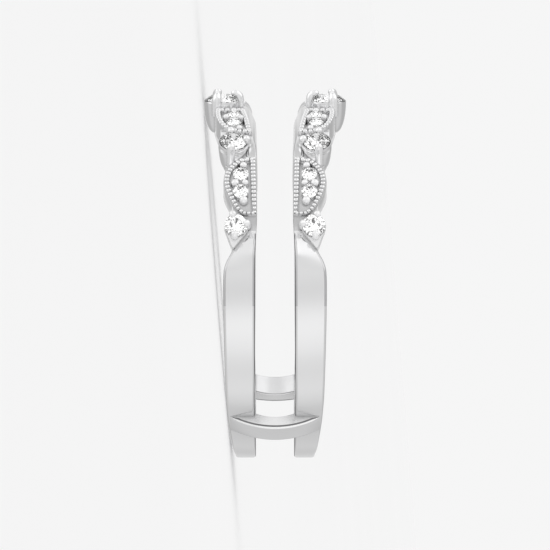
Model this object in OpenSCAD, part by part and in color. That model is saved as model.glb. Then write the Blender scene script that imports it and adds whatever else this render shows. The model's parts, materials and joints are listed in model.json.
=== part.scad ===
// Ring guard enhancer, white metal with round brilliants, lying on its side as it rests.
// Ring frame used by the modules: X along the finger, -Y the near side, +Z up to the stones.
// An angle is counted round the finger from the top of the ring, 0 at the stones.

/* [Bands] */
// Radius of the finger hole
bore_r = 8.65; // [7.5:0.05:10.5]
// Thickness of the shank
shank_t = 1.5; // [1.2:0.05:2]
// Narrowest half gap between the two bands, beside the leaf plates
gap_half = 1.02; // [0.8:0.01:1.3]
// Chamfer along the outer corners of the bands
corner = 0.14; // [0.05:0.01:0.25]
// Chamfer along the corners beside the settings
head_corner = 0.03; // [0.02:0.01:0.05]
// Slope of the shoulder ramps in degrees
ramp_slope = 11; // [5:1:16]
// Angle of the crease where the ramp starts, at the band's gap side
crease_inner = 73.3; // [72:0.1:76]
// Angle of the crease at the band's outer side
crease_outer = 77.9; // [76:0.1:80]

/* [Bridges] */
// Angle of the bridges' middle, from the top of the ring
bridge_angle = 134.7; // [125:0.1:145]
// Width of a bridge round the finger
bridge_w = 1.2; // [0.8:0.02:1.6]
// Half the length of a bridge across both bands
bridge_half = 2.55; // [2.2:0.05:2.6]
// Rise of the bridge's outer arc above the shank's face
bridge_rise = 0.8; // [0.6:0.05:1.2]
// Rise of the arch under the bridge
arch_rise = 0.22; // [0.1:0.02:0.3]

/* [Stones] */
// Radius from the finger's axis to the girdles of the centre stones
centre_girdle_r = 10.5; // [10.4:0.02:10.6]
// Radius from the finger's axis to the girdles of the other stones
girdle_r = 10.38; // [10.3:0.02:10.44]
// Diameter of the two centre stones
centre_d = 2; // [1.6:0.05:2.2]
// Diameter of the collet stones
collet_d = 1.55; // [1.3:0.05:1.6]
// Diameter of the tail collet stones
tail_d = 1.3; // [1.1:0.05:1.35]
// Diameter of the stones in the plates
plate_d = 0.9; // [0.8:0.02:0.94]
// Clearance between a stone and the metal round it
stone_gap = 0.03; // [0.02:0.01:0.06]

/* [Settings] */
// Wall of a collet outside its stone
collet_wall = 0.04; // [0.03:0.01:0.08]
// Depth of a collet's rim below the girdle of its stone
rim_drop = 0.1; // [0.05:0.01:0.2]
// Height of the claws above the girdles of the centre stones
centre_claw_h = 0.62; // [0.4:0.02:0.7]
// Height of the other claws above the girdles
claw_h = 0.44; // [0.3:0.02:0.5]
// Radius of a claw on a centre stone
centre_claw_r = 0.26; // [0.2:0.01:0.28]
// Radius of the other claws
claw_r = 0.21; // [0.16:0.01:0.22]
// Lean of the claws' tops over the stones in degrees
claw_lean = 18; // [5:1:22]
// Width of the beaded rail round a plate
rail_w = 0.27; // [0.2:0.01:0.3]
// Height of the rail's top above the shank's face
rail_h = 0.27; // [0.2:0.01:0.35]
// Depth of a plate's floor below the rail's top
pocket_h = 0.3; // [0.2:0.01:0.4]

/* [Hidden] */
shank_r = bore_r + shank_t;
rail_r = shank_r + rail_h;
floor_r = rail_r - pocket_h;
skin = 0.03;        // step between faces that would otherwise lie in one another
inside_r = bore_r - 0.5;  // how deep a band reaches before the finger hole is cut
foot_r = bore_r - 0.25;   // how deep a collet reaches before that cut
root_r = bore_r + 0.45;   // how deep a plate reaches into the band
head_step = 2;            // degrees between the sections beside the settings
far_step = 2.5;           // degrees between the sections of the far shoulder
shank_step = 5;           // degrees between the other sections
head_end = 80;            // angle where the wider step starts
far_end = 95;             // angle where the far shoulder has its full width
head_depth = 0.05;        // depth of the face at the gap side, beside the settings

// Rows of the bands: angle, half gap above the narrowest, outer half width, depth of the face
band_rows = [
    [0, 0.80, 3.50, 0.05], [6, 0.72, 3.47, 0.05], [12, 0.59, 3.40, 0.05], [17, 0.46, 3.29, 0.05],
    [22, 0.35, 3.12, 0.05], [24, 0.31, 3.11, 0.05], [27, 0.24, 3.10, 0.50], [31, 0.12, 3.08, 0.80],
    [34, 0.08, 2.94, 1.00], [37, 0.06, 2.78, 1.00], [39, 0.055, 2.73, 0.60], [41, 0.05, 2.74, 0.05],
    [45, 0.04, 2.88, 0.05], [48, 0.02, 2.96, 0.05], [51, 0.01, 2.88, 0.05], [54, 0.00, 2.70, 0.05],
    [57, 0.00, 2.45, 0.05], [60, 0.01, 2.40, 0.10], [62, 0.03, 2.52, 0.30], [64, 0.05, 2.62, 0.40],
    [68, 0.07, 2.50, 0.40], [71, 0.09, 2.39, 0.40], [73, 0.10, 2.53, 0.40], [75, 0.105, 2.74, 0.40],
    [78, 0.11, 2.915, 0.40], [82, 0.11, 2.95, 0.40], [88, 0.115, 2.95, 0.40], [95, 0.12, 2.935, 0.40],
    [102, 0.12, 2.91, 0.40], [109, 0.125, 2.88, 0.40], [116, 0.135, 2.845, 0.40],
    [124, 0.145, 2.805, 0.40], [134, 0.12, 2.70, 0.40], [146, 0.09, 2.53, 0.40],
    [155, 0.08, 2.42, 0.40], [164, 0.08, 2.28, 0.40], [180, 0.08, 2.25, 0.40]
];
// Rows of the far shoulders, which stay narrow further down the ring: angle, outer half width
far_rows = [[71, 2.39], [88, 2.39], [90, 2.57], [92, 2.79], [far_end, 2.93]];

// Rows of the upper plate's outer edge: angle, half width
upper_rows = [[8.5, 3.30], [12, 3.34], [16.7, 3.25], [20.2, 3.11], [22.8, 2.94], [24.8, 2.66]];
// Rows of the leaf plate's outer edge: angle, half width
leaf_rows = [[38.6, 1.75], [40.2, 2.22], [42.6, 2.60], [45, 2.82], [48.2, 2.92], [51.2, 2.84],
    [54, 2.66], [56.5, 2.44], [59, 2.16], [60.4, 1.75]];
upper_edge = 0.08;  // from the gap side of the band to the upper plate's rail
leaf_edge = 0.03;   // from the gap side of the band to the leaf plate's rail

// Places of the stones on a quarter of the ring: name, angle, half width, diameter
stone_rows = [
    ["upper_stone_1", 14.9, 2.34, plate_d], ["upper_stone_2", 20.4, 2.37, plate_d],
    ["collet_stone", 31.6, 2.36, collet_d],
    ["leaf_stone_1", 45.8, 1.955, plate_d], ["leaf_stone_2", 52.3, 1.955, plate_d],
    ["tail_stone", 64, 2.22, tail_d]
];
collet_row = stone_rows[2];
tail_row = stone_rows[5];
centre_half = 3.05;  // half width at which the centre stones sit
sides = [["left", 1], ["right", 0]];  // name, and whether it is mirrored across the ring
faces = [["near", 0], ["far", 1]];    // name, and whether it is mirrored along the finger's depth

// Directions of the claws round each stone, 0 towards the gap and 90 up the ring
centre_claws = [0, 107, -107];
collet_claws = [0, 101, -101];
tail_claws = [0, 108, -98];

// Bead prongs of the plates: angle, half width, radius
upper_beads = [[11.8, 2.34, 0.18], [17.6, 2.80, 0.19], [17.6, 1.94, 0.17], [23.7, 2.14, 0.19]];
leaf_beads = [[42.2, 1.80, 0.19], [49.05, 2.28, 0.22], [49.05, 1.70, 0.20], [56, 1.79, 0.19]];

tail_tip = [70.8, 2.38];  // angle and half width of the tail collet's point
tip_half = 0.08;          // half the width of that point
tail_rise = 0.05;         // height of the tail above the shank's face

// Radii of the collets at the finger hole, and how deep their claws reach below the girdles
centre_foot = 0.45;
collet_foot = 0.6;
tail_foot = 0.55;
centre_root = 0.8;
collet_root = 1.1;
tail_root = 0.7;
knee_drop = 0.1;      // how deep a claw's leaning top starts in its stem

// Cut of the stones as shares of their diameter
table_share = 0.56;
crown_share = 0.15;
girdle_share = 0.03;
pavilion_share = 0.43;

// A stone's name in full, such as left_near_tail_stone
function stone_name(side, face, row) = str(side[0], "_", face[0], "_", row[0]);

// Value in a column of rows at an angle, straight between the rows
function between(rows, a, col, i = 0) =
    a <= rows[0][0] ? rows[0][col]
    : i >= len(rows) - 1 ? rows[len(rows) - 1][col]
    : a <= rows[i + 1][0]
        ? rows[i][col] + (rows[i + 1][col] - rows[i][col]) * (a - rows[i][0]) / (rows[i + 1][0] - rows[i][0])
    : between(rows, a, col, i + 1);
// The same with the corners of the rows rounded off
function smooth(rows, a, col, w = 1) =
    (between(rows, abs(a - w), col) + 2 * between(rows, a, col) + between(rows, a + w, col)) / 4;
function band_gap(a) = gap_half + smooth(band_rows, a, 1);
function band_half(a) = smooth(band_rows, a, 2);
function far_half(a) = a > 71 && a < far_end ? min(band_half(a), smooth(far_rows, a, 1)) : band_half(a);

// Radius of the band's face at an angle, down the ramp from the crease to the depth under the settings
function ramp_drop(a, crease) = max(0, crease - a) * PI / 180 * shank_r * tan(ramp_slope);
function face_r(a, crease) = shank_r - min(smooth(band_rows, a, 3), ramp_drop(a, crease));
// At the gap side the face isn't cut down under the collets
function gap_face_r(a) = a > 57 ? face_r(a, crease_inner) : shank_r - head_depth;

// Lowest slope of a flat surface that touches a centre collet and the side of the shank
centre_rim_r = centre_girdle_r - rim_drop;
centre_rim = centre_d / 2 + collet_wall;
head_half = centre_half + centre_rim;
function shank_slope(a) = (head_half - band_half(a)) / (centre_rim_r - (shank_r - corner) * cos(a));
rest_tilt = atan(min([for (a = [90 : shank_step : 180]) shank_slope(a)]));
rest_lift = (centre_half + centre_foot) * cos(rest_tilt) - centre_rim_r * sin(rest_tilt)
    + norm([(centre_rim - centre_foot) * cos(rest_tilt), (centre_rim_r - bore_r) * sin(rest_tilt)]);
claw_half = 0.3;  // from the middle of a centre stone to its outer claws, across the band
claw_top = centre_girdle_r + centre_claw_h + 0.5 * centre_claw_r * sin(claw_lean);
front_reach = claw_top * cos(rest_tilt) + (centre_half + claw_half) * sin(rest_tilt);
back_reach = shank_r * cos(rest_tilt) + (band_half(180) - corner) * sin(rest_tilt);

// From the ring frame to where the ring lies: left band down, stones towards -X
module laid() {
    translate([(front_reach - back_reach) / 2, 0, rest_lift]) rotate([0, rest_tilt - 90, 0]) children();
}

// To a place on the right band's near side: X across the band, Y up the ring, Z out of it
module seated(angle, half, radius) {
    rotate([angle, 0, 0]) translate([half, 0, radius]) children();
}

module on_both_faces() {
    for (face = faces) mirror([0, face[1], 0]) children();
}

// Corners of the band's cross section at an angle, as points of the ring frame
function ring_point(a, x, r) = [x, -r * sin(a), r * cos(a)];
function band_section(a) =
    let (near = a >= 0 && a <= 180, b = abs(a > 180 ? a - 360 : a), c = b < 64 ? head_corner : corner,
         g = band_gap(b), h = near ? band_half(b) : far_half(b),
         ri = gap_face_r(b), ro = face_r(b, crease_outer))
    [ring_point(a, g, inside_r), ring_point(a, g, ri - c), ring_point(a, g + c, ri),
     ring_point(a, h - c, ro), ring_point(a, h, ro - c), ring_point(a, h, inside_r)];

// One band as a closed loop of cross sections
module band_body() {
    angles = concat([for (a = [-head_end : head_step : head_end - head_step]) a],
                    [for (a = [head_end : shank_step : 360 - far_end - shank_step]) a],
                    [for (a = [360 - far_end : far_step : 360 - head_end - far_step]) a]);
    sections = [for (a = angles) band_section(a)];
    count = len(sections);
    n = len(sections[0]);
    polyhedron(
        points = [for (s = sections) each s],
        faces = [for (i = [0 : count - 1], j = [0 : n - 1])
            let (k = (i + 1) % count, m = (j + 1) % n)
            each [[i * n + j, i * n + m, k * n + m], [i * n + j, k * n + m, k * n + j]]]
    );
}

// A collet: a cup whose wall curves in towards the finger
module cup(rim, foot, stone_r) {
    rim_r = stone_r - rim_drop;
    depth = rim_r - bore_r;
    steps = 6;
    wall = [for (i = [0 : steps]) let (t = i / steps) [foot + (rim - foot) * cos(90 * t), -depth * sin(90 * t)]];
    translate([0, 0, -rim_drop]) rotate_extrude($fn = 64)
        polygon(concat([[0, 0]], wall, [[foot, foot_r - rim_r], [0, foot_r - rim_r]]));
}

// A claw at the edge of a stone: an upright stem, and a round top leaning over the crown
module claw(edge, r, direction, depth, rise) {
    length = rise / cos(claw_lean) + knee_drop;
    rotate([0, 0, 180 - direction]) translate([edge, 0, 0]) {
        translate([0, 0, -depth]) cylinder(h = depth, r = r, $fn = 48);
        rotate([0, -claw_lean, 0]) translate([0, 0, -knee_drop]) rotate_extrude($fn = 48)
            polygon([[0, 0], [r, 0], [r, length - 0.7 * r], [0.86 * r, length - 0.3 * r],
                     [0.5 * r, length], [0, length]]);
    }
}

// Space of a stone with its clearance, cut out of the metal
module seat(d) {
    r = d / 2 + stone_gap;
    g = d * girdle_share / 2 + stone_gap;
    top = g + d * crown_share;
    rotate_extrude($fn = 64)
        polygon([[0, -g - d * pavilion_share - stone_gap], [r, -g], [r, g], [r * table_share, top], [0, top]]);
}

// Outline of a plate: the outer rows one way, the band's gap side back
function flat_point(a, mid, half) = [half, -rail_r * sin(a - mid)];
function plate_outline(rows, mid, edge, grow) =
    let (first = rows[0][0] - grow / rail_r * 180 / PI, last = rows[len(rows) - 1][0] + grow / rail_r * 180 / PI,
         steps = 16)
    concat(
        [for (i = [0 : steps]) let (t = i / steps, a = first + (last - first) * t,
            b = rows[0][0] + (rows[len(rows) - 1][0] - rows[0][0]) * t)
            flat_point(a, mid, smooth(rows, b, 1, 0.8) + grow)],
        [for (i = [steps / 2 : -1 : 0]) let (a = first + (last - first) * 2 * i / steps)
            flat_point(a, mid, band_gap(a) + edge - grow)]
    );

// What lies between two radii of the ring
module shell(r1, r2) {
    rotate([0, 90, 0]) difference() {
        cylinder(h = 12, r = r2, center = true, $fn = 180);
        cylinder(h = 13, r = r1, center = true, $fn = 180);
    }
}

// A plate's outline as a solid from one radius to another
module plate_solid(rows, edge, grow, r1, r2) {
    mid = (rows[0][0] + rows[len(rows) - 1][0]) / 2;
    intersection() {
        seated(mid, 0, 0) linear_extrude(height = rail_r + 1)
            polygon(plate_outline(rows, mid, edge, grow));
        shell(r1, r2);
    }
}

// A plate with its raised rail round a sunken floor
module plate(rows, edge) {
    difference() {
        plate_solid(rows, edge, 0, root_r, rail_r);
        plate_solid(rows, edge, -rail_w, floor_r, rail_r + 1);
    }
}

module bead(row) {
    rise = row[2] * 0.8;
    seated(row[0], row[1], floor_r - 0.1) cylinder(h = rail_r - rise - floor_r + 0.2, r = row[2], $fn = 32);
    seated(row[0], row[1], rail_r - rise + 0.1) sphere(r = row[2], $fn = 32);
}

// The pointed tail under the last collet, from the collet's sides to its tip
module tail() {
    r = tail_d / 2 + collet_wall;
    angle = tail_row[1];
    half = tail_row[2];
    tip_y = -(tail_tip[0] - angle) * PI / 180 * shank_r;
    side = 30;  // direction below level at which the tail leaves the collet
    seated(angle, 0, foot_r) linear_extrude(height = shank_r - foot_r + tail_rise)
        polygon([[half - r * cos(side), -r * sin(side)], [half, r / 2], [half + r * cos(side), -r * sin(side)],
                 [tail_tip[1] + tip_half, tip_y], [tail_tip[1] - tip_half, tip_y]]);
}

// Settings on the right band's near side
module settings() {
    plate(upper_rows, upper_edge);
    plate(leaf_rows, leaf_edge);
    for (row = upper_beads) bead(row);
    for (row = leaf_beads) bead(row);
    seated(collet_row[1], collet_row[2], girdle_r) {
        cup(collet_d / 2 + collet_wall, collet_foot, girdle_r);
        for (a = collet_claws) claw(collet_d / 2, claw_r, a, collet_root, claw_h);
    }
    seated(tail_row[1], tail_row[2], girdle_r) {
        cup(tail_d / 2 + collet_wall, tail_foot, girdle_r);
        for (a = tail_claws) claw(tail_d / 2, claw_r, a, tail_root, claw_h);
    }
    tail();
}

module centre_setting() {
    seated(0, centre_half, centre_girdle_r) {
        cup(centre_rim, centre_foot, centre_girdle_r);
        for (a = centre_claws) claw(centre_d / 2, centre_claw_r, a, centre_root, centre_claw_h);
    }
}

// Arched strap soldered across both bands at the back of the finger
module bridge() {
    outer = (bridge_half * bridge_half + bridge_rise * bridge_rise) / (2 * bridge_rise);
    arch_half = band_gap(bridge_angle);
    arch = (arch_half * arch_half + arch_rise * arch_rise) / (2 * arch_rise);
    seated(bridge_angle, 0, shank_r) rotate([90, 0, 0]) difference() {
        intersection() {
            translate([0, bridge_rise - outer, 0]) cylinder(h = bridge_w, r = outer, center = true, $fn = 128);
            translate([-bridge_half, -0.2, -bridge_w]) cube([2 * bridge_half, 2, 2 * bridge_w]);
        }
        translate([0, arch_rise - arch, 0]) cylinder(h = 2 * bridge_w, r = arch, center = true, $fn = 128);
    }
}

module right_band() {
    difference() {
        union() {
            band_body();
            centre_setting();
            on_both_faces() settings();
        }
        rotate([0, 90, 0]) cylinder(h = 20, r = bore_r, center = true, $fn = 180);
        seated(0, centre_half, centre_girdle_r) seat(centre_d);
        on_both_faces() for (row = stone_rows) seated(row[1], row[2], girdle_r) seat(row[3]);
    }
}

module guard_frame() {
    color("gainsboro") laid() {
        for (side = sides) mirror([side[1], 0, 0]) right_band();
        on_both_faces() bridge();
    }
}

// A round brilliant with its girdle at the origin and its table up
module brilliant(d) {
    r = d / 2;
    girdle = d * girdle_share / 2;
    table_r = r * table_share;
    top = girdle + d * crown_share;
    crown_fall = d * crown_share / (r - table_r);
    star_r = (table_r + r) / 2;
    star_z = top - (star_r * cos(22.5) - table_r) * crown_fall;
    depth = girdle + d * pavilion_share;
    pavilion_rise = d * pavilion_share / r;
    low_r = 0.22 * r;
    low_z = low_r * cos(22.5) * pavilion_rise - depth;
    turn = 22.5;
    points = concat(
        [for (i = [0 : 7]) [table_r * cos(2 * i * turn), table_r * sin(2 * i * turn), top]],
        [for (i = [0 : 7]) [star_r * cos((2 * i + 1) * turn), star_r * sin((2 * i + 1) * turn), star_z]],
        [for (i = [0 : 15]) [r * cos(i * turn), r * sin(i * turn), girdle]],
        [for (i = [0 : 15]) [r * cos(i * turn), r * sin(i * turn), -girdle]],
        [for (i = [0 : 7]) [low_r * cos((2 * i + 1) * turn), low_r * sin((2 * i + 1) * turn), low_z]],
        [[0, 0, -depth]]
    );
    table = 0; star = 8; upper = 16; lower = 32; low = 48; culet = 56;
    faces = concat(
        [[for (i = [7 : -1 : 0]) table + i]],
        [for (i = [0 : 7]) [table + i, table + (i + 1) % 8, star + i]],
        [for (i = [0 : 7]) [table + i, star + i, upper + 2 * i, star + (i + 7) % 8]],
        [for (i = [0 : 7]) [star + i, upper + 2 * i + 1, upper + 2 * i]],
        [for (i = [0 : 7]) [star + i, upper + (2 * i + 2) % 16, upper + 2 * i + 1]],
        [for (i = [0 : 15]) [upper + i, upper + (i + 1) % 16, lower + (i + 1) % 16, lower + i]],
        [for (i = [0 : 7]) [lower + 2 * i, lower + 2 * i + 1, low + i]],
        [for (i = [0 : 7]) [lower + 2 * i + 1, lower + (2 * i + 2) % 16, low + i]],
        [for (i = [0 : 7]) [culet, low + (i + 7) % 8, lower + 2 * i, low + i]]
    );
    polyhedron(points = points, faces = faces);
}

module stone(side, face, angle, half, radius, d) {
    color("white") laid() mirror([side[1], 0, 0]) mirror([0, face[1], 0])
        seated(angle, half, radius) brilliant(d);
}

guard_frame();
for (side = sides) {
    stone(side, faces[0], 0, centre_half, centre_girdle_r, centre_d);
    for (face = faces, row = stone_rows)
        stone(side, face, row[1], row[2], girdle_r, row[3]);
}
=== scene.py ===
import json
import math

import bmesh
import bpy
from mathutils import Matrix, Vector


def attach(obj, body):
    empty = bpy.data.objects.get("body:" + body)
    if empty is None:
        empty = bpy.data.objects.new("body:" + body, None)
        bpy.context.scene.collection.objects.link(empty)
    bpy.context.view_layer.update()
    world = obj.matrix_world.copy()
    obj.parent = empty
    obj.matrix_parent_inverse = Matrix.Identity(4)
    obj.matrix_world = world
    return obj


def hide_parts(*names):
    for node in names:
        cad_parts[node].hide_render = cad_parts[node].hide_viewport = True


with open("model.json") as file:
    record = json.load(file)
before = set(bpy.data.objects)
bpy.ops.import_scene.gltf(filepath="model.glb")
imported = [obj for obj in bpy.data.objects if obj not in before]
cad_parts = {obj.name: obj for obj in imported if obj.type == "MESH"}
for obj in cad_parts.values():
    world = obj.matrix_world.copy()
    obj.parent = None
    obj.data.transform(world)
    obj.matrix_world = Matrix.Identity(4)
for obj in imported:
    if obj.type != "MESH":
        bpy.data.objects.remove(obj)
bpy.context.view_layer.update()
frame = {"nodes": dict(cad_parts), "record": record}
print("frame loaded,", len(frame["nodes"]), "solids")

# The ring lies on its side, so its own frame is set up from the finger hole's mount:
# X along the finger, -Y the near side, +Z towards the stones, in millimetres.
mm = 0.001  # in metres
fingerHole = next(m for m in frame["record"]["mounts"] if m["name"] == "finger_hole")
boreRadius = fingerHole["dims"]["r_mm"]
alongFinger = Vector(fingerHole["axis"]).normalized()
acrossRing = Vector((0, 1, 0))
towardStones = alongFinger.cross(acrossRing)
ringTurn = Matrix((alongFinger, acrossRing, towardStones)).transposed().to_4x4()
ringPlace = Matrix.Translation(Vector(fingerHole["pos_m"])) @ ringTurn @ Matrix.Scale(mm, 4)

bandSides = {"left": -1, "right": 1}
ringFaces = {"near": 1, "far": -1}


def placeOnQuarter(side, face="near"):
    return ringPlace @ Matrix.Diagonal((bandSides[side], ringFaces[face], 1, 1))


def seatedAt(angle, half, radius):
    return Matrix.Rotation(math.radians(angle), 4, "X") @ Matrix.Translation((half, 0, radius))


def onRing(angle, half, radius):
    a = math.radians(angle)
    return Vector((half, -radius * math.sin(a), radius * math.cos(a)))


# Camera at the photograph's angle: the ring upright in the picture, seen from 8 degrees on the stones' side
cameraSettings = {
    "elevation": 8.0,
    "distance": 0.8,
    "pictureWidth": 550,
    "pixelsPerMm": 17.36,
    "axisAbove": 6.3,  # pixels from the picture's middle down to the finger's axis
    "sensorWidth": 36,
    "clip": (0.01, 20),
}


def makeCamera(settings):
    e = math.radians(settings["elevation"])
    right = alongFinger
    back = (towardStones * math.sin(e) - acrossRing * math.cos(e)).normalized()
    up = back.cross(right)
    camera = bpy.data.objects.new("camera", bpy.data.cameras.new("camera"))
    pixel = mm / settings["pixelsPerMm"]
    camera.data.sensor_width = settings["sensorWidth"]
    camera.data.lens = settings["sensorWidth"] * settings["distance"] / (settings["pictureWidth"] * pixel)
    camera.data.clip_start, camera.data.clip_end = settings["clip"]
    aim = ringPlace.translation + up * settings["axisAbove"] * pixel
    camera.matrix_world = (
        Matrix.Translation(aim + back * settings["distance"])
        @ Matrix((right, up, back)).transposed().to_4x4()
    )
    bpy.context.scene.collection.objects.link(camera)
    bpy.context.scene.camera = camera


makeCamera(cameraSettings)
print("camera set")


# Materials
def newMaterial(name):
    material = bpy.data.materials.new(name)
    material.use_nodes = True
    return material, material.node_tree.nodes, material.node_tree.links


def grey(level):
    return (level, level, level, 1)


def mapRange(nodes, links, value, low, high, start=0, end=1):
    node = nodes.new("ShaderNodeMapRange")
    node.inputs["From Min"].default_value = start
    node.inputs["From Max"].default_value = end
    node.inputs["To Min"].default_value = low
    node.inputs["To Max"].default_value = high
    links.new(value, node.inputs["Value"])
    return node.outputs["Result"]


def calculate(nodes, links, operation, *values):
    node = nodes.new("ShaderNodeMath")
    node.operation = operation
    for socket, value in zip(node.inputs, values):
        if isinstance(value, (int, float)):
            socket.default_value = value
        else:
            links.new(value, socket)
    return node.outputs[0]


def noise(nodes, links, place, scale, detail):
    node = nodes.new("ShaderNodeTexNoise")
    node.inputs["Scale"].default_value = scale
    node.inputs["Detail"].default_value = detail
    links.new(place, node.inputs["Vector"])
    return node.outputs["Fac"]


def mixColours(nodes, links, share, low, high):
    node = nodes.new("ShaderNodeMix")
    node.data_type = "RGBA"
    links.new(share, node.inputs["Factor"])
    for socket, colour in (("A", low), ("B", high)):
        if isinstance(colour, tuple):
            node.inputs[socket].default_value = colour
        else:
            links.new(colour, node.inputs[socket])
    return node.outputs["Result"]


whiteGoldFinish = {
    "colour": (0.93, 0.93, 0.935, 1),
    "roughness": (0.09, 0.16),
    "polishScale": 900,  # slow clouds left by the polishing wheel
    "polishDetail": 3,
    "polishShade": 0.985,  # share of the colour where the clouds are darkest
    "grainScale": 14000,
    "grainDetail": 4,
    "bumpDepth": 0.000002,
    "bumpStrength": 0.25,
    "recess": (0.22, 0.00016),  # painted shade in the corners: how dark the deepest are, and how far it reaches
    "recessSamples": 8,
    "cornerRoughness": 0.1,  # added in the deepest corners
    "metal": 1,
    "seatGlow": 0.5,  # painted glow: the metal seen through the stones emits light, standing in for the light they gather
}
# painted shade that reaches further, darkening the bands beside the bridges
shankFinish = {**whiteGoldFinish, "recess": (0.35, 0.0012), "cornerRoughness": 0.9}
# painted shade: a darker, rougher copy of the white gold for the walls along the gap
gapFinish = {**whiteGoldFinish, "colour": (0.62, 0.62, 0.625, 1), "roughness": (0.2, 0.3)}
# painted shade: a near-black, rougher copy for thin lines along edges, standing in for the dark they mirror
edgeFinish = {**whiteGoldFinish, "colour": (0.22, 0.22, 0.225, 1), "roughness": (0.3, 0.4)}
# painted shade: a lighter grey, rougher copy for soft lines along edges and shaded strips
softEdgeFinish = {**shankFinish, "colour": (0.68, 0.68, 0.685, 1), "roughness": (0.25, 0.35)}
filedFinish = {**whiteGoldFinish, "roughness": (0.35, 0.42)}
# painted highlight: brighter copies of the white gold with a diffuse share, so claws and prongs read white
clawFinish = {**whiteGoldFinish, "colour": (0.98, 0.98, 0.985, 1), "metal": 0.75}
beadFinish = {**whiteGoldFinish, "colour": (0.98, 0.98, 0.985, 1), "metal": 0.35}
# painted highlight: a near-white, mostly diffuse copy for the bright lines along the bridges' edges
glintFinish = {**whiteGoldFinish, "colour": (1, 1, 1, 1), "metal": 0.1, "recess": (0.9, 0.0001)}
# less painted corner shade and a diffuse share, which lighten the tail
tailFinish = {**whiteGoldFinish, "recess": (0.75, 0.00016), "metal": 0.6}
# painted corner shade, lighter than the plain white gold's
plateFinish = {**whiteGoldFinish, "recess": (0.4, 0.00016)}
# painted shade: a darker, rougher copy for the sunken floors and the pocket by the leaf's tip
pocketFinish = {**whiteGoldFinish, "colour": (0.68, 0.68, 0.685, 1), "roughness": (0.2, 0.3)}


def makeWhiteGold(name, finish):
    material, nodes, links = newMaterial(name)
    shader = nodes["Principled BSDF"]
    shader.inputs["Metallic"].default_value = finish["metal"]
    shader.inputs["Emission Color"].default_value = grey(1)
    place = nodes.new("ShaderNodeTexCoord").outputs["Object"]
    clouds = noise(nodes, links, place, finish["polishScale"], finish["polishDetail"])
    shaded = tuple(c * finish["polishShade"] for c in finish["colour"][:3]) + (1,)
    tint = mixColours(nodes, links, clouds, shaded, finish["colour"])
    dark, reach = finish["recess"]
    corners = nodes.new("ShaderNodeAmbientOcclusion")  # painted shade, darker in close corners; these also come out rougher where the polishing misses them
    corners.samples = finish["recessSamples"]
    corners.inputs["Distance"].default_value = reach
    underStone = nodes.new("ShaderNodeLightPath").outputs["Is Transmission Ray"]
    # seen through the stones, the seats get no painted corner shade
    inTheOpen = calculate(nodes, links, "MAXIMUM", corners.outputs["AO"], underStone)
    links.new(mixColours(nodes, links, inTheOpen, grey(dark), tint), shader.inputs["Base Color"])
    polish = mapRange(nodes, links, clouds, *finish["roughness"])
    missed = mapRange(nodes, links, inTheOpen, finish["cornerRoughness"], 0)
    links.new(calculate(nodes, links, "ADD", polish, missed), shader.inputs["Roughness"])
    # painted glow where the metal is seen through a stone
    glow = calculate(nodes, links, "MULTIPLY", underStone, finish["seatGlow"])
    links.new(glow, shader.inputs["Emission Strength"])
    bump = nodes.new("ShaderNodeBump")
    bump.inputs["Strength"].default_value = finish["bumpStrength"]
    bump.inputs["Distance"].default_value = finish["bumpDepth"]
    grain = noise(nodes, links, place, finish["grainScale"], finish["grainDetail"])
    links.new(grain, bump.inputs["Height"])
    links.new(bump.outputs["Normal"], shader.inputs["Normal"])
    return material


diamondFinish = {
    "refraction": 2.42,
    "cloudScale": 2500,  # faint clouds within the stone
    "cloudDetail": 2,
    "clouds": (0.97, 1.0),
}


def makeDiamond(name, finish):
    material, nodes, links = newMaterial(name)
    shader = nodes["Principled BSDF"]
    shader.inputs["IOR"].default_value = finish["refraction"]
    shader.inputs["Roughness"].default_value = 0
    shader.inputs["Transmission Weight"].default_value = 1
    place = nodes.new("ShaderNodeTexCoord").outputs["Object"]
    clouds = noise(nodes, links, place, finish["cloudScale"], finish["cloudDetail"])
    links.new(mapRange(nodes, links, clouds, *finish["clouds"]), shader.inputs["Base Color"])
    return material


floorFinish = {
    "paper": (0.91, 0.93),
    "cloudScale": 6,
    "cloudDetail": 2,
    "roughness": 0.9,
    "half": 4,  # metres from the middle to the edge
}


def makeFloorFinish(name, finish):
    material, nodes, links = newMaterial(name)
    shader = nodes["Principled BSDF"]
    shader.inputs["Roughness"].default_value = finish["roughness"]
    shader.inputs["Specular IOR Level"].default_value = 0
    place = nodes.new("ShaderNodeTexCoord").outputs["Object"]
    clouds = noise(nodes, links, place, finish["cloudScale"], finish["cloudDetail"])
    low, high = finish["paper"]
    links.new(mixColours(nodes, links, clouds, grey(low), grey(high)), shader.inputs["Base Color"])
    return material


whiteGold = makeWhiteGold("polished_white_gold", whiteGoldFinish)
shankGold = makeWhiteGold("shank_white_gold", shankFinish)
gapShadeGold = makeWhiteGold("gap_white_gold", gapFinish)
edgeShadeGold = makeWhiteGold("dull_edge", edgeFinish)
softEdgeShadeGold = makeWhiteGold("soft_edge", softEdgeFinish)
filedGold = makeWhiteGold("filed_white_gold", filedFinish)
clawGold = makeWhiteGold("claw_white_gold", clawFinish)
beadGold = makeWhiteGold("bead_white_gold", beadFinish)
glintGold = makeWhiteGold("glint", glintFinish)
tailGold = makeWhiteGold("tail_white_gold", tailFinish)
plateGold = makeWhiteGold("plate_white_gold", plateFinish)
pocketShadeGold = makeWhiteGold("pocket_white_gold", pocketFinish)
diamond = makeDiamond("diamond", diamondFinish)
print("materials made")


# Mesh helpers
def loft(rings, closed=False):
    n = len(rings[0])
    points = [p for ring in rings for p in ring]
    count = len(rings) if closed else len(rings) - 1
    faces = []
    for i in range(count):
        k = (i + 1) % len(rings)
        for j in range(n):
            m = (j + 1) % n
            faces.append((i * n + j, i * n + m, k * n + m, k * n + j))
    if not closed:
        faces.append(tuple(range(n)))
        faces.append(tuple(range(len(points) - n, len(points))))
    return points, faces


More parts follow.
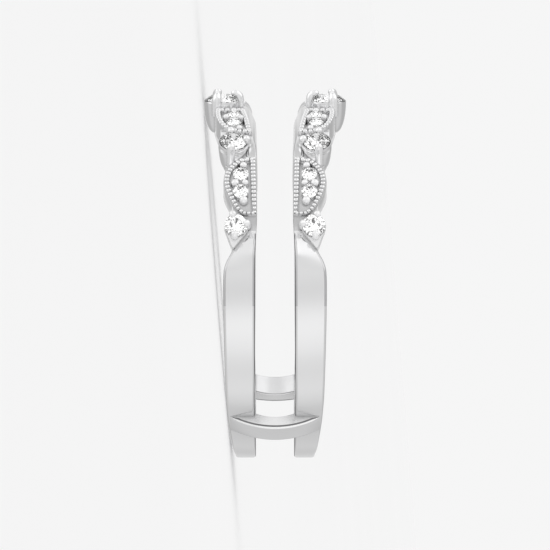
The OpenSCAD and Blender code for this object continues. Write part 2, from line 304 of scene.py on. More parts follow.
def lathe(profile, steps=48):
    turns = [2 * math.pi * i / steps for i in range(steps)]
    return loft([[Vector((r * math.cos(t), r * math.sin(t), z)) for t in turns] for r, z in profile])


def tube(path, radii, steps=16):
    rings = []
    side = None
    for i, p in enumerate(path):
        ahead = path[min(i + 1, len(path) - 1)] - path[max(i - 1, 0)]
        ahead.normalize()
        side = ahead.orthogonal() if side is None else side - ahead * side.dot(ahead)
        side.normalize()
        other = ahead.cross(side)
        turns = [2 * math.pi * j / steps for j in range(steps)]
        rings.append([p + (side * math.cos(t) + other * math.sin(t)) * radii[i] for t in turns])
    return loft(rings)


def joined(parts):
    points, faces = [], []
    for place, (partPoints, partFaces) in parts:
        start = len(points)
        points += [place @ p for p in partPoints]
        faces += [tuple(start + i for i in f) for f in partFaces]
    return points, faces


def makePiece(name, shape, place, material=whiteGold, sharpAngle=38, cutter=None):
    points, faces = shape
    mesh = bpy.data.meshes.new(name)
    mesh.from_pydata([place @ p for p in points], [], faces)
    work = bmesh.new()
    work.from_mesh(mesh)
    bmesh.ops.recalc_face_normals(work, faces=work.faces)
    work.to_mesh(mesh)
    work.free()
    piece = bpy.data.objects.new(name, mesh)
    bpy.context.scene.collection.objects.link(piece)
    if cutter:
        cut = piece.modifiers.new("seats", "BOOLEAN")
        cut.operation = "DIFFERENCE"
        cut.solver = "EXACT"
        cut.object = cutter
        bpy.context.view_layer.update()
        carved = bpy.data.meshes.new_from_object(piece.evaluated_get(bpy.context.evaluated_depsgraph_get()))
        piece.modifiers.clear()
        piece.data = carved
        carved.name = name
    piece.data.materials.clear()
    piece.data.materials.append(material)
    piece.data.shade_smooth()
    piece.data.set_sharp_from_angle(angle=math.radians(sharpAngle))
    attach(piece, "root")
    return piece


# A column of a table whose rows start with an angle, read between two rows
def between(rows, angle, column):
    angle = abs(angle)
    if angle <= rows[0][0]:
        return rows[0][column]
    for low, high in zip(rows, rows[1:]):
        if angle <= high[0]:
            t = (angle - low[0]) / (high[0] - low[0])
            return low[column] + (high[column] - low[column]) * t
    return rows[-1][column]


# The same with the bends at the rows rounded
def smooth(rows, angle, column, width=1.0):
    low = between(rows, angle - width, column)
    high = between(rows, angle + width, column)
    return (low + 2 * between(rows, angle, column) + high) / 4


# Stones of a quarter of the ring: angle from the top, half width, radius of the girdle, diameter
stonePlaces = {
    "upper_stone_1": (14.9, 2.34, 10.38, 0.9),
    "upper_stone_2": (20.4, 2.37, 10.38, 0.9),
    "collet_stone": (31.6, 2.36, 10.38, 1.55),
    "leaf_stone_1": (45.8, 1.955, 10.38, 0.9),
    "leaf_stone_2": (52.3, 1.955, 10.38, 0.9),
    "tail_stone": (64.0, 2.22, 10.38, 1.3),
}
centreStone = (0.0, 3.05, 10.5, 2.0)

# Clearance and the radius of the point in millimetres, the rest as shares of the stone's diameter
seatSizes = {
    "clearance": 0.035,
    "point": 0.01,
    "girdle": 0.03,
    "crown": 0.15,
    "pavilion": 0.43,
    "table": 0.56,
    "steps": 40,
}


def seatShape(diameter, sizes):
    r = diameter / 2 + sizes["clearance"]
    g = diameter * sizes["girdle"] / 2 + sizes["clearance"]
    top = g + diameter * sizes["crown"]
    bottom = -g - diameter * sizes["pavilion"] - sizes["clearance"]
    profile = [(sizes["point"], bottom), (r, -g), (r, g), (r * sizes["table"], top)]
    return lathe(profile, sizes["steps"])


def makeSeatCutter(side):
    parts = []
    for face, sign in ringFaces.items():
        for angle, half, radius, diameter in stonePlaces.values():
            place = Matrix.Diagonal((1, sign, 1, 1)) @ seatedAt(angle, half, radius)
            parts.append((place, seatShape(diameter, seatSizes)))
    angle, half, radius, diameter = centreStone
    parts.append((seatedAt(angle, half, radius), seatShape(diameter, seatSizes)))
    return makePiece(side + "_seat_cutter", joined(parts), placeOnQuarter(side))


# Bands: two half bands beside the gap, cut down under the settings and flat behind the shoulders
bandSizes = {
    "shank": 1.5,  # thickness
    "gapHalf": 1.02,  # where the gap is narrowest
    "corner": 0.15,
    "headCorner": 0.04,
    "headDepth": 0.05,
    "headEnd": 57,  # up to here the band is cut down on its outer side only
    "cornerGrowth": (64, 72),  # angles between which the head's corners grow into the shank's
    "fineEnd": 82,  # a section at each degree up to here, then at every other one
    "lip": 0.03,  # narrow flat along the gap edge
    "boreLine": 0.06,  # painted dark line along the finger hole's edges, also rougher
    "ledge": 0.4,  # strip beside the gap that is cut down less deep
    "boreCorner": 0.1,
    "rampSlope": 11,  # degrees at which the face drops from the shank into the head
    "creaseInner": 73.3,  # where that drop starts, beside the gap and on the outer side
    "creaseOuter": 77.9,
    # angle, half gap above the narrowest, outer half width, depth of the face
    "rows": [
        (0, 0.80, 3.50, 0.05), (6, 0.72, 3.47, 0.05), (12, 0.59, 3.40, 0.05), (17, 0.46, 3.29, 0.05),
        (22, 0.35, 3.12, 0.05), (24, 0.31, 3.11, 0.05), (27, 0.24, 3.10, 0.50), (31, 0.12, 3.08, 0.80),
        (34, 0.08, 2.94, 1.00), (37, 0.06, 2.78, 1.00), (39, 0.055, 2.73, 0.60), (41, 0.05, 2.74, 0.05),
        (45, 0.04, 2.88, 0.05), (48, 0.02, 2.96, 0.05), (51, 0.01, 2.88, 0.05), (54, 0.00, 2.70, 0.05),
        (57, 0.00, 2.45, 0.05), (60, 0.01, 2.40, 0.10), (62, 0.03, 2.52, 0.30), (64, 0.05, 2.62, 0.40),
        (68, 0.07, 2.50, 0.40), (71, 0.09, 2.39, 0.40), (73, 0.10, 2.53, 0.40), (75, 0.105, 2.74, 0.40),
        (78, 0.11, 2.915, 0.40), (82, 0.11, 2.95, 0.40), (88, 0.115, 2.95, 0.40), (95, 0.12, 2.935, 0.40),
        (102, 0.12, 2.91, 0.40), (109, 0.125, 2.88, 0.40), (116, 0.135, 2.845, 0.40),
        (124, 0.145, 2.805, 0.40), (134, 0.12, 2.70, 0.40), (146, 0.09, 2.53, 0.40),
        (155, 0.08, 2.42, 0.40), (164, 0.08, 2.28, 0.40), (180, 0.08, 2.25, 0.40),
    ],
    # outer half width of the far shoulders, which stay narrow further down
    "farRows": [(71, 2.39), (88, 2.39), (90, 2.57), (92, 2.79), (95, 2.93)],
}
shankRadius = boreRadius + bandSizes["shank"]


def bandGap(angle):
    return bandSizes["gapHalf"] + smooth(bandSizes["rows"], angle, 1)


def bandHalf(angle, far=False):
    half = smooth(bandSizes["rows"], angle, 2)
    farRows = bandSizes["farRows"]
    if far and farRows[0][0] < angle < farRows[-1][0]:
        half = min(half, smooth(farRows, angle, 1))
    return half


def faceRadius(angle, crease, depth):
    slope = math.tan(math.radians(bandSizes["rampSlope"]))
    ramp = max(0, math.radians(crease - angle) * shankRadius * slope)
    return shankRadius - min(depth, ramp)


def cornerArc(x, r, radius, start, steps=4):
    turns = [math.radians(start + 90 * i / steps) for i in range(steps + 1)]
    return [(x + radius * math.cos(t), r + radius * math.sin(t)) for t in turns]


def bandSection(angle, sizes):
    b = abs(angle if angle <= 180 else angle - 360)
    start, end = sizes["cornerGrowth"]
    toShank = min(1, max(0, (b - start) / (end - start)))
    c = sizes["headCorner"] + (sizes["corner"] - sizes["headCorner"]) * toShank
    d = sizes["headCorner"] + (sizes["boreCorner"] - sizes["headCorner"]) * toShank
    gap, half = bandGap(b), bandHalf(b, angle < 0 or angle > 180)
    depth = smooth(sizes["rows"], b, 3)
    inHead = b <= sizes["headEnd"]
    inner = faceRadius(b, sizes["creaseInner"], sizes["headDepth"] if inHead else depth)
    outer = faceRadius(b, sizes["creaseOuter"], depth)
    ledge, lip, line = sizes["ledge"], sizes["lip"], sizes["boreLine"]
    ledgeRadius = inner if inHead else inner + (outer - inner) * ledge / (half - gap)
    lipRadius = inner + (ledgeRadius - inner) * lip / (ledge - c)
    outline = cornerArc(half - d, boreRadius + d, d, -90) + cornerArc(half - c, outer - c, c, 0)
    outline += [(gap + ledge, ledgeRadius), (gap + c + lip, lipRadius)]
    outline += cornerArc(gap + c, inner - c, c, 90) + cornerArc(gap + d, boreRadius + d, d, 180)
    outline += [(gap + d + line, boreRadius), (half - d - line, boreRadius)]
    return [onRing(angle, x, r) for x, r in outline]


# the gap, edge, softEdge and pocket finishes are darker copies of the white gold: painted shade and dark
# lines
bandFinishes = {
    "plate": plateGold,
    "shank": shankGold,
    "gap": gapShadeGold,
    "edge": edgeShadeGold,
    "softEdge": softEdgeShadeGold,
    "pocket": pocketShadeGold,
}
# Where they lie: spans in degrees from the top, widths in millimetres from the gap or the outer side
bandAreas = {
    "faceDepth": 0.5,  # the deepest that a face lies below the shank's
    "boreDepth": 0.03,
    "gapLine": {"from": 60, "darkFrom": 66, "width": (0.005, 0.045)},
    "boreLine": {"to": 40, "width": 0.08},
    "gapWall": {"from": 60, "width": 0.02},
    "gapShade": {"span": (66, 90), "width": 0.14},
    "sideShade": {"span": (70, 90), "width": (0.003, 0.13)},
    "tipPocket": {"span": (54.5, 65), "width": 1.2},
    "plateFloors": {"spans": [(9, 26), (40, 57)], "depth": 0.07},
    "shankFrom": 84,
}


def within(value, span):
    return span[0] < value < span[1]


def bandFinish(b, radius, fromGap, fromSide, areas):
    onFace = radius > shankRadius - areas["faceDepth"]
    inBore = radius < boreRadius + areas["boreDepth"]
    gapLine, boreLine, gapWall = areas["gapLine"], areas["boreLine"], areas["gapWall"]
    gapShade, sideShade = areas["gapShade"], areas["sideShade"]
    tipPocket, plateFloors = areas["tipPocket"], areas["plateFloors"]
    if onFace and b > gapLine["from"] and within(fromGap, gapLine["width"]):
        return "edge" if b > gapLine["darkFrom"] else "softEdge"
    if inBore and b < boreLine["to"] and min(fromSide, fromGap) < boreLine["width"]:
        return "softEdge"
    if b > gapWall["from"] and fromGap < gapWall["width"]:
        return "gap"
    if onFace and within(b, sideShade["span"]) and within(fromSide, sideShade["width"]):
        return "softEdge"
    if onFace and within(b, gapShade["span"]) and fromGap < gapShade["width"]:
        return "softEdge"
    if onFace and within(b, tipPocket["span"]) and fromGap < tipPocket["width"]:
        return "pocket"
    onFloor = radius > shankRadius - plateFloors["depth"]
    if onFloor and any(within(b, span) for span in plateFloors["spans"]):
        return "pocket"
    return "shank" if b > areas["shankFrom"] else "plate"


def makeBand(side, cutter):
    fine = bandSizes["fineEnd"]
    angles = list(range(-fine, fine)) + list(range(fine, 360 - fine, 2))
    shape = loft([bandSection(a, bandSizes) for a in angles], closed=True)
    band = makePiece(side + "_band", shape, placeOnQuarter(side), material=bandFinishes["plate"],
                     sharpAngle=30, cutter=cutter)
    finishes = list(bandFinishes)
    for name in finishes[1:]:
        band.data.materials.append(bandFinishes[name])
    toRing = ringPlace.inverted()
    for face in band.data.polygons:
        middle = toRing @ face.center
        b = math.degrees(abs(math.atan2(middle.y, middle.z)))
        radius = math.hypot(middle.y, middle.z)
        fromGap = abs(middle.x) - bandGap(b)
        fromSide = bandHalf(b, middle.y > 0) - abs(middle.x)
        face.material_index = finishes.index(bandFinish(b, radius, fromGap, fromSide, bandAreas))
    return band


# Bridges: arched straps across both bands at the back of the finger
bridgeSizes = {
    "angle": {"near": 135.1, "far": 134.7},
    "width": 1.24,
    "half": 2.55,
    "rise": 0.78,
    "crown": (0.012, 0.016),  # swell of the top's outer half and of its middle
    "archRise": 0.28,
    "archFoot": -0.3,  # where the underside leaves the bands, from the shank's face
    "archReach": 0.12,  # how far past the gap's edge the arch goes on
    "depth": 0.45,
    "edge": 0.09,
    "edgeTurns": (22, 45, 68, 90),
    "groove": 0.03,
    "shade": 0.1,  # width of the painted dark line along the edges, which is also rougher
    "underCorner": 0.04,
    "underLine": 0.11,  # height of the strip over the underside's corner
    "runOut": 0.25,  # height over which the ends run out on the bands
    "leastShare": 0.02,  # what is left of the edges at the very ends
    "steps": 48,
}
bridgeFinishes = {
    "shank": shankGold,
    "edge": edgeShadeGold,
    "glint": glintGold,
    "softEdge": softEdgeShadeGold,
    "filed": filedGold,
}


def arcPoints(half, rise, steps):
    radius = (half * half + rise * rise) / (2 * rise)
    xs = [half - 2 * half * i / steps for i in range(steps + 1)]
    return [(x, rise - radius + math.sqrt(radius * radius - x * x)) for x in xs]


def bridgeSection(x, top, gap, sizes):
    w, edge = sizes["width"] / 2, sizes["edge"]
    under = -sizes["depth"]
    if abs(x) < gap + sizes["archReach"]:
        rise = sizes["archRise"]
        radius = (gap * gap + rise ** 2) / (2 * rise)
        under = sizes["archFoot"] + rise - radius + math.sqrt(radius * radius - x * x)
    share = (top - max(under, 0)) / sizes["runOut"]
    room = max(sizes["leastShare"], min(1.0, share))  # the ends run out on the bands
    e, g, d = edge * room, sizes["groove"] * room, sizes["shade"] * room
    side = [(w - sizes["underCorner"], under), (w, under + sizes["underCorner"])]
    side += [(w, under + sizes["underLine"]), (w, top - e - d), (w - g, top - e)]
    turns = [math.radians(t) for t in sizes["edgeTurns"]]
    side += [(w - g - e + e * math.cos(t), top - e + e * math.sin(t)) for t in turns]
    outerSwell, middleSwell = sizes["crown"]
    profile = side + [((w - e) / 2, top + outerSwell), (0, top + middleSwell)]
    return profile + [(-y, z) for y, z in profile[-2::-1]]


def makeBridge(face, sizes):
    angle = sizes["angle"][face]
    rings = []
    for x, top in arcPoints(sizes["half"], sizes["rise"], sizes["steps"]):
        rings.append([Vector((x, y, z)) for y, z in bridgeSection(x, top, bandGap(angle), sizes)])
    place = ringPlace @ Matrix.Diagonal((1, ringFaces[face], 1, 1)) @ seatedAt(angle, 0, shankRadius)
    bridge = makePiece(face + "_bridge", loft(rings), place, material=bridgeFinishes["shank"])
    # Strips along the bridge: up one side, over the top and down to the last, then the underside
    n = len(rings[0])
    last = n - 2
    # edge and softEdge strips carry painted dark lines, glint strips painted highlights
    strips = {0: "edge", 3: "edge", 4: "glint", 5: "glint", 6: "glint", n - 1: "filed"}
    strips.update({last - 7: "softEdge", last - 6: "softEdge", last - 3: "edge", last: "edge"})
    if face == "far":
        strips.update({last - 1: "glint", last: "softEdge"})
    finishes = list(bridgeFinishes)
    for name in finishes[1:]:
        bridge.data.materials.append(bridgeFinishes[name])
    for i, polygon in enumerate(bridge.data.polygons[: n * (len(rings) - 1)]):
        polygon.material_index = finishes.index(strips.get(i % n, "shank"))


# Claws: an upright stem outside the girdle, bent in over the crown
clawShapes = {
    "centre": {"radius": 0.27, "tip": 0.21, "root": 0.8, "rise": 0.62, "reach": 0.38},
    "collet": {"radius": 0.24, "tip": 0.23, "root": 1.1, "rise": 0.4, "reach": 0.07},
    "tail": {"radius": 0.19, "tip": 0.21, "root": 0.7, "rise": 0.44, "reach": 0.06},
}

clawLine = {
    "upright": 0.3,  # share of the root that has its own section
    "lean": (0.02, 0.45),  # inwards in millimetres, and at this share of the height
    "bend": [(0.12, 0.7), (0.3, 0.88), (0.55, 0.98), (0.8, 1.0)],  # shares of the reach and the height
    "endTurns": (30, 55, 75, 88),  # the rounded end
    "endLength": 0.8,  # share of the tip's radius
    "endDrop": 0.02,
}


def clawShape(edge, direction, sizes):
    root, tip, radius = sizes["root"], sizes["tip"], sizes["radius"]
    top = sizes["rise"] - tip
    inwards, height = clawLine["lean"]
    line = [(edge, -root), (edge, -clawLine["upright"] * root), (edge, 0.0), (edge - inwards, top * height)]
    radii = [radius] * len(line)
    bend = clawLine["bend"]
    for i, (inwards, height) in enumerate(bend):
        line.append((edge - sizes["reach"] * inwards, top * height))
        radii.append(radius + (tip - radius) * (i + 1) / len(bend))
    lastX, lastZ = line[-1]
    turns = clawLine["endTurns"]
    for turn in turns:
        a = math.radians(turn)
        ahead = tip * math.sin(a) * clawLine["endLength"]
        line.append((lastX - ahead, lastZ - clawLine["endDrop"] * turn / turns[-1]))
        radii.append(tip * math.cos(a))
    a = math.radians(180 - direction)
    path = [Vector((x * math.cos(a), x * math.sin(a), z)) for x, z in line]
    return tube(path, radii)


# Collets: cups whose walls curve in towards the finger
colletSizes = {
    "centre": {"foot": 0.45, "rim": 1.04, "rings": [], "seam": 0.01},
    "collet": {"foot": 0.6, "rim": 0.88, "rings": [0.12, 0.24], "seam": 0.045},
}
cupSizes = {
    "steps": 8,
    "footGap": 0.02,  # from the finger hole's wall up to the cup's foot
    "rimDrop": 0.1,
    "groove": [(0.03, -0.04), (0.07, 0), (0.01, 0.03)],  # inwards from the rim, up from the groove's middle
    "grooveReach": 0.05,
    "lipRise": 0.09,
    "lipRoot": 0.03,
    "lipCorner": (0.01, 0.015),
    "wall": 0.09,
    "seatStep": 0.04,
    "cavity": 0.3,  # shares of the stone's diameter
    "cavityDepth": 0.46,
    "cavityPoint": 0.04,
}
# directions of the claws round their stone, in degrees from the side of the gap
centreClaws = (0, 107, -107)
colletClaws = (0, 101, -101)
tailClaws = (4, 107, -97)


def cupShape(kind, radius, diameter):
    sizes = colletSizes[kind]
    foot, rim = sizes["foot"], sizes["rim"]
    steps, low = cupSizes["steps"], -cupSizes["rimDrop"]
    depth = radius + low - boreRadius
    wall = []
    for i in range(steps):
        t = math.radians(90 * (1 - i / steps))
        wall.append((foot + (rim - foot) * math.cos(t), -depth * math.sin(t) + low))
    wall[0] = (foot, wall[0][1] + cupSizes["footGap"])
    for drop in sizes["rings"][::-1]:  # grooves under the rim
        middle = low - drop
        wall = [(r, z) for r, z in wall if z < middle - cupSizes["grooveReach"]]
        wall += [(rim - inwards, middle + up) for inwards, up in cupSizes["groove"]]
    edge = low + cupSizes["lipRise"]
    root = low - cupSizes["lipRoot"]
    cornerIn, cornerDown = cupSizes["lipCorner"]
    girdle = diameter / 2 + sizes["seam"]
    lip = [(rim, root), (rim, edge - cornerDown), (rim - cornerIn, edge), (girdle, edge)]
    lip += [(girdle, low + cupSizes["seatStep"]), (rim - cupSizes["wall"], root)]
    cavity = [(diameter * cupSizes["cavity"], -diameter * cupSizes["cavity"])]
    cavity += [(cupSizes["cavityPoint"], -diameter * cupSizes["cavityDepth"])]
    return lathe(wall + lip + cavity)


def makeCentreCollet(side):
    angle, half, radius, diameter = centreStone
    place = placeOnQuarter(side) @ seatedAt(angle, half, radius)
    makePiece(side + "_centre_collet", cupShape("centre", radius, diameter), place)
    claws = [(Matrix(), clawShape(diameter / 2, a, clawShapes["centre"])) for a in centreClaws]
    makePiece(side + "_centre_claws", joined(claws), place, material=clawGold)


def makeCollet(side, face):
    angle, half, radius, diameter = stonePlaces["collet_stone"]
    place = placeOnQuarter(side, face) @ seatedAt(angle, half, radius)
    makePiece(f"{side}_{face}_collet", cupShape("collet", radius, diameter), place)
    claws = [(Matrix(), clawShape(diameter / 2, a, clawShapes["collet"])) for a in colletClaws]
    makePiece(f"{side}_{face}_collet_claws", joined(claws), place, material=clawGold)


# Plates: a sunken floor with a beaded rail round it
plateSizes = {
    "railWidth": {"upper": 0.31, "leaf": 0.31},
    "tipStart": 54.5,  # from this angle the leaf's rail narrows towards its tip
    "tipShare": 0.6,
    "railRise": 0.27,
    "railSide": 0.2,  # the rail's straight sides end this far below its top
    "railTurn": 30,  # degrees between the points of its rounded top
    "railPower": 0.6,  # under 1 it is boxier than a circle
    "floorRadius": 9.86,  # under the band's face, which is the floor that shows
    "beadPitch": {"upper": 0.33, "leaf": 0.266},
    "beadSteps": 8,
    "beadPower": 2.1,  # how full a bead is along the rail
    "beadHeight": 0.15,
    "beadSwell": {"side": 0.25, "top": 0.9},  # shares of the width and height that come and go with the beads
    "rootRadius": 9.2,
    "rootLine": 0.07,  # painted dark line round the plate's underside, also rougher
    "gapEdge": 0.03,  # from the band's gap side to the plate's
    "outlineSteps": 28,
    "outlineBlend": 0.8,
}
prongSizes = {
    "foot": 0.1,  # below the floor
    "rise": 0.2,
    "shoulder": 0.8,  # shares of the prong's radius: how far its dome starts below the rail, and its height
    "dome": 0.85,
    "domeTurns": (20, 40, 60, 75, 86),
    "steps": 20,
}
railRadius = shankRadius + plateSizes["railRise"]
plateRows = {  # outer edge: angle, half width
    "upper": [(8.5, 3.38), (12, 3.44), (16.7, 3.38), (20.2, 3.24), (22.8, 3.02), (24.7, 2.70), (26.3, 2.05)],
    "leaf": [(38.6, 1.75), (40.2, 2.22), (42.6, 2.60), (45, 2.82), (48.2, 2.92), (51.2, 2.84),
             (54, 2.66), (56.5, 2.44), (59, 2.16), (60.4, 1.75)],
}
prongPlaces = {  # angle, half width, radius
    "upper": [(11.4, 2.34, 0.18), (16.7, 2.80, 0.19), (17.2, 1.95, 0.17), (24.1, 2.04, 0.19)],
    "leaf": [(42.2, 1.80, 0.21), (49.05, 2.27, 0.24), (49.05, 1.70, 0.19), (55.3, 1.79, 0.24)],
}


def plateOutline(kind, sizes):
    rows = plateRows[kind]
    first, last = rows[0][0], rows[-1][0]
    steps = sizes["outlineSteps"]
    angles = [first + (last - first) * i / steps for i in range(steps + 1)]
    outer = [(smooth(rows, a, 1, sizes["outlineBlend"]), a) for a in angles]
    inner = [(bandGap(a) + sizes["gapEdge"], a) for a in angles[::-1]]
    arc = math.radians(1) * railRadius
    return [(x, a * arc) for x, a in outer + inner]


def cutCorners(loop, near=0.75, far=0.25):
    points = []
    for p, q in zip(loop, loop[1:] + loop[:1]):
        points.append((near * p[0] + far * q[0], near * p[1] + far * q[1]))
        points.append((far * p[0] + near * q[0], far * p[1] + near * q[1]))
    return points


def evenLoop(loop, spacing):
    loop = cutCorners(cutCorners(loop))
    lengths = [math.dist(p, q) for p, q in zip(loop, loop[1:] + loop[:1])]
    total = sum(lengths)
    count = round(total / spacing)
    points, i, passed = [], 0, 0.0
    for k in range(count):
        target = total * k / count
        while passed + lengths[i] < target:
            passed += lengths[i]
            i += 1
        t = (target - passed) / lengths[i]
        p, q = loop[i], loop[(i + 1) % len(loop)]
        points.append((p[0] + (q[0] - p[0]) * t, p[1] + (q[1] - p[1]) * t))
    return points


def inwardAt(loop, i):
    before, after = loop[i - 1], loop[(i + 1) % len(loop)]
    dx, dy = after[0] - before[0], after[1] - before[1]
    size = math.hypot(dx, dy)
    return -dy / size, dx / size


def railSection(width, swell, sizes):
    root, side = sizes["rootRadius"], railRadius - sizes["railSide"]
    ring = [(sizes["rootLine"], root), (0.0, root), (0.0, side)]
    sideSwell, topSwell = sizes["beadSwell"]["side"], sizes["beadSwell"]["top"]
    height = sizes["beadHeight"]
    for t in range(0, 181, sizes["railTurn"]):
        c, s = math.cos(math.radians(t)), math.sin(math.radians(t))
        boxy = math.copysign(abs(c) ** sizes["railPower"], c)
        across = width / 2 - width / 2 * boxy * (1 - sideSwell + sideSwell * swell)
        up = height * s ** sizes["railPower"] * (1 - topSwell + topSwell * swell)
        ring.append((across, railRadius - height + up))
    return ring + [(width, side), (width, sizes["floorRadius"])]


def plateShape(kind, sizes):
    steps = sizes["beadSteps"]
    loop = evenLoop(plateOutline(kind, sizes), sizes["beadPitch"][kind] / steps)
    loop = loop[: len(loop) // steps * steps]
    area = sum(p[0] * q[1] - q[0] * p[1] for p, q in zip(loop, loop[1:] + loop[:1]))
    sign = 1 if area > 0 else -1
    tipStart, tipEnd = math.radians(sizes["tipStart"]) * railRadius, max(y for x, y in loop)
    power = sizes["beadPower"]
    rings = []
    for i, (x, y) in enumerate(loop):
        nx, ny = inwardAt(loop, i)
        nx, ny = nx * sign, ny * sign
        toTip = max(0.0, y - tipStart) / (tipEnd - tipStart)
        width = sizes["railWidth"][kind] * (1 - (1 - sizes["tipShare"]) * toTip)
        u = 2 * (i % steps) / steps - 1
        swell = (1 - abs(u) ** power) ** (1 / power)  # 1 at a bead's middle, 0 between two beads
        ring = railSection(width, swell, sizes)
        rings.append([onRing(math.degrees((y + ny * d) / railRadius), x + nx * d, r) for d, r in ring])
    n = len(rings[0])
    points = [p for ring in rings for p in ring]
    faces = []
    for i in range(len(rings)):
        k = (i + 1) % len(rings)
        for j in range(n - 1):
            faces.append((i * n + j, i * n + j + 1, k * n + j + 1, k * n + j))
    faces.append(tuple(i * n + n - 1 for i in range(len(rings))))
    faces.append(tuple(i * n for i in range(len(rings))))
    return points, faces


def prongShape(radius, height, sizes):
    profile = [(radius, 0), (radius, height)]
    for t in sizes["domeTurns"]:
        a = math.radians(t)
        profile.append((radius * math.cos(a), height + radius * sizes["dome"] * math.sin(a)))
    return lathe(profile, sizes["steps"])


def makePlate(side, face, kind):
    place = placeOnQuarter(side, face)
    shape = plateShape(kind, plateSizes)
    plate = makePiece(f"{side}_{face}_{kind}_plate", shape, place, material=plateGold, sharpAngle=50)
    plate.data.materials.append(softEdgeShadeGold)
    faces = shape[1]
    sideFaces = len(faces) - 2  # all but the floor and the underside, which have a corner at each section
    inSection = sideFaces // len(faces[-1])
    # the strip round the underside gets the painted shade line
    for i in range(0, sideFaces, inSection):
        plate.data.polygons[i].material_index = 1
    floor = plateSizes["floorRadius"]
    prongs = []
    for angle, half, radius in prongPlaces[kind]:
        height = railRadius - floor - radius * prongSizes["shoulder"] + prongSizes["rise"]
        prong = prongShape(radius, height, prongSizes)
        prongs.append((seatedAt(angle, half, floor - prongSizes["foot"]), prong))
    makePiece(f"{side}_{face}_{kind}_prongs", joined(prongs), place, material=beadGold)


# Tail collets: the last stone's cup drawn out to a point on the shoulder
tailSizes = {
    "rim": 0.69,
    "tip": (70.8, 2.38),  # angle, half width
    "tipRadius": 0.07,
    "steps": {"round": 32, "tip": 6},
    # radius from the finger's axis, and how far the wall lies inside the rim's outline
    "levels": [(9.2, 0.06), (9.85, 0.03), (9.9, 0.0), (9.98, 0.0), (10.01, 0.04), (10.05, 0.04), (10.08, 0.0),
               (10.17, 0.0), (10.2, 0.03)],
}


def teardrop(inset):
    angle, half, radius, diameter = stonePlaces["tail_stone"]
    r = tailSizes["rim"] - inset
    tipX = tailSizes["tip"][1] - half
    tipY = -math.radians(tailSizes["tip"][0] - angle) * shankRadius
    far = math.hypot(tipX, tipY)
    toTip = math.atan2(tipY, tipX)
    small = tailSizes["tipRadius"]
    lean = math.acos((r - small) / far)  # where the straight sides leave the round
    steps, tipSteps = tailSizes["steps"]["round"], tailSizes["steps"]["tip"]
    turns = [toTip + lean + (2 * math.pi - 2 * lean) * i / steps for i in range(steps + 1)]
    points = [(r * math.cos(t), r * math.sin(t)) for t in turns]
    tipTurns = [toTip - lean + 2 * lean * i / tipSteps for i in range(tipSteps + 1)]
    points += [(tipX + small * math.cos(t), tipY + small * math.sin(t)) for t in tipTurns]
    return points


def makeTail(side, face, cutter):
    angle, half, radius, diameter = stonePlaces["tail_stone"]
    place = placeOnQuarter(side, face) @ seatedAt(angle, half, 0)
    rings = [[Vector((x, y, level)) for x, y in teardrop(inset)] for level, inset in tailSizes["levels"]]
    makePiece(f"{side}_{face}_tail", loft(rings), place, material=tailGold, cutter=cutter)
    place = placeOnQuarter(side, face) @ seatedAt(angle, half, radius)
    claws = [(Matrix(), clawShape(diameter / 2, a, clawShapes["tail"])) for a in tailClaws]
    makePiece(f"{side}_{face}_tail_claws", joined(claws), place, material=beadGold)


for side in bandSides:
    cutter = makeSeatCutter(side)
    band = makeBand(side, cutter)
    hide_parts("guard_frame")
    makeCentreCollet(side)
    for face in ringFaces:
        for kind in plateRows:
            makePlate(side, face, kind)
        makeCollet(side, face)
        makeTail(side, face, cutter)
    bpy.data.objects.remove(cutter)
for face in ringFaces:
    makeBridge(face, bridgeSizes)
print("metal made")

for name, node in frame["nodes"].items():
    if name != "guard_frame":
        node.data.materials.clear()
        node.data.materials.append(diamond)
print("stones dressed")


# Floor, world and lights
def makeFloor(finish):
    edge = finish["half"]
    corners = [(-edge, -edge, 0), (edge, -edge, 0), (edge, edge, 0), (-edge, edge, 0)]
    mesh = bpy.data.meshes.new("floor")
    mesh.from_pydata(corners, [], [(0, 1, 2, 3)])
    mesh.materials.append(makeFloorFinish("pale_floor", finish))
    floor = bpy.data.objects.new("floor", mesh)
    floor.location = (ringPlace.translation.x, 0, 0)
    bpy.context.scene.collection.objects.link(floor)
    floor.visible_glossy = False  # the metal and stones mirror the tent instead
    floor.visible_transmission = False
    floor.visible_shadow = False  # it takes no part in the metal's painted corner shade


makeFloor(floorFinish)

# The light tent: what the metal mirrors round the ring, and towards the finger's two ends
studio = {
    "background": 0.92,
    "fill": 0.93,  # light on what isn't polished
    # degrees round the ring from the stones' side through the near side, brightness
    "around": [(0, 0.86), (32, 0.86), (60, 0.75), (76, 0.77), (81, 0.745), (88, 0.715), (94, 0.755),
               (101, 0.85), (107, 0.91), (114, 0.92), (121, 0.89), (128, 0.85), (135, 0.78), (143, 0.745),
               (158, 0.78), (167, 0.705), (171, 0.656), (175, 0.60), (185, 0.60), (210, 0.62), (220, 0.65),
               (233, 0.595), (262, 0.75), (280, 0.95), (318, 0.98), (326, 0.95), (336, 0.76), (345, 0.6),
               (353, 0.66)],
    "ends": [(0, 1.2), (44, 1.15), (62, 0.7), (90, 0.6), (150, 0.62), (196, 0.6), (225, 0.46),
             (300, 0.46), (322, 0.8), (335, 1.2)],
    "endsHeight": (0.24, 0.42),  # height above or below the ring's plane where the ends take over
    "zenith": 0.62,  # brightness straight along the finger
    "zenithHeight": (0.97, 0.995),
    "inStones": (0.05, 1.7),  # what the stones gather: dark flecks in bright light
    "sparks": {"scale": 13.0, "detail": 2, "edge": (0.4, 0.5)},
}


def brightnessRamp(nodes, links, value, stops):
    ramp = nodes.new("ShaderNodeValToRGB")
    elements = ramp.color_ramp.elements
    stops = stops + [(360, stops[0][1])]  # closes the round
    while len(elements) < len(stops):
        elements.new(0.5)
    for i, (angle, level) in enumerate(stops):
        elements[i].position = angle / 360
        elements[i].color = grey(level)
    links.new(value, ramp.inputs["Fac"])
    return ramp.outputs["Color"]


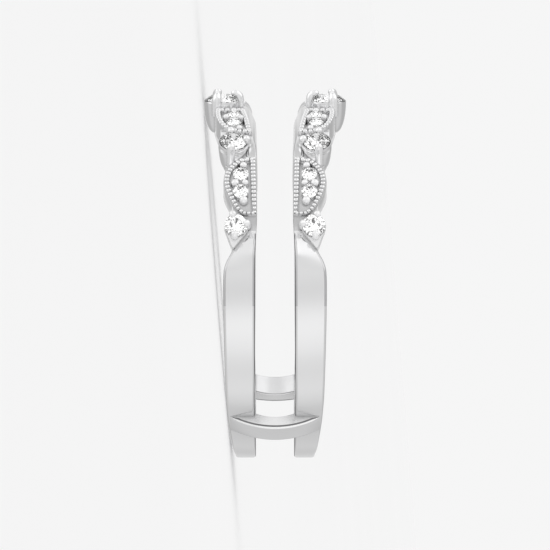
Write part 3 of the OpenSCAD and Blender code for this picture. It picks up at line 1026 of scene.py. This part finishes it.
def background(nodes, links, colour):
    node = nodes.new("ShaderNodeBackground")
    if isinstance(colour, tuple):
        node.inputs["Color"].default_value = colour
    else:
        links.new(colour, node.inputs["Color"])
    return node.outputs["Background"]


def chooseLight(nodes, links, ray, otherwise, chosen):
    node = nodes.new("ShaderNodeMixShader")
    for socket, light in zip(node.inputs, (ray, otherwise, chosen)):
        links.new(light, socket)
    return node.outputs["Shader"]


def tentColour(nodes, links, direction, settings):
    split = nodes.new("ShaderNodeSeparateXYZ")
    links.new(direction, split.inputs["Vector"])
    backY = calculate(nodes, links, "MULTIPLY", split.outputs["Y"], -1)
    backX = calculate(nodes, links, "MULTIPLY", split.outputs["X"], -1)
    turn = calculate(nodes, links, "ARCTAN2", backY, backX)
    turns = calculate(nodes, links, "MULTIPLY_ADD", turn, 0.5 / math.pi, 1)
    share = calculate(nodes, links, "FRACT", turns)  # of a turn round the ring
    around = brightnessRamp(nodes, links, share, settings["around"])
    ends = brightnessRamp(nodes, links, share, settings["ends"])
    height = calculate(nodes, links, "ABSOLUTE", split.outputs["Z"])
    toEnds = mapRange(nodes, links, height, 0, 1, *settings["endsHeight"])
    toZenith = mapRange(nodes, links, height, 0, 1, *settings["zenithHeight"])
    both = mixColours(nodes, links, toEnds, around, ends)
    return mixColours(nodes, links, toZenith, both, grey(settings["zenith"]))


def makeWorld(settings):
    world = bpy.data.worlds.new("studio")
    bpy.context.scene.world = world
    world.use_nodes = True
    nodes, links = world.node_tree.nodes, world.node_tree.links
    nodes.clear()
    direction = nodes.new("ShaderNodeTexCoord").outputs["Generated"]
    sparks = settings["sparks"]
    flecks = noise(nodes, links, direction, sparks["scale"], sparks["detail"])
    spark = mapRange(nodes, links, flecks, *settings["inStones"], *sparks["edge"])
    tent = background(nodes, links, tentColour(nodes, links, direction, settings))
    inStones = background(nodes, links, spark)
    fill = background(nodes, links, grey(settings["fill"]))
    plain = background(nodes, links, grey(settings["background"]))
    ray = nodes.new("ShaderNodeLightPath").outputs
    light = chooseLight(nodes, links, ray["Is Transmission Ray"], tent, inStones)
    light = chooseLight(nodes, links, ray["Is Diffuse Ray"], light, fill)
    light = chooseLight(nodes, links, ray["Is Camera Ray"], light, plain)
    out = nodes.new("ShaderNodeOutputWorld")
    links.new(light, out.inputs["Surface"])


makeWorld(studio)

lamps = {
    "key": {"from": (-0.5, -0.6, 0.9), "angle": 14, "strength": 0.16},
    "side": {"from": (0.6, -0.4, 0.8), "angle": 20, "strength": 0.12},
}


def makeLamp(name, lamp):
    light = bpy.data.objects.new(name + "_light", bpy.data.lights.new(name + "_light", "SUN"))
    light.data.energy = lamp["strength"]
    light.data.angle = math.radians(lamp["angle"])
    light.location = lamp["from"]
    light.rotation_euler = (-light.location).to_track_quat("-Z", "Y").to_euler()
    light.visible_glossy = False  # no hard lines on the polished edges
    bpy.context.scene.collection.objects.link(light)


for name, lamp in lamps.items():
    makeLamp(name, lamp)
bpy.context.scene.view_settings.view_transform = "Standard"
print("floor and light set")
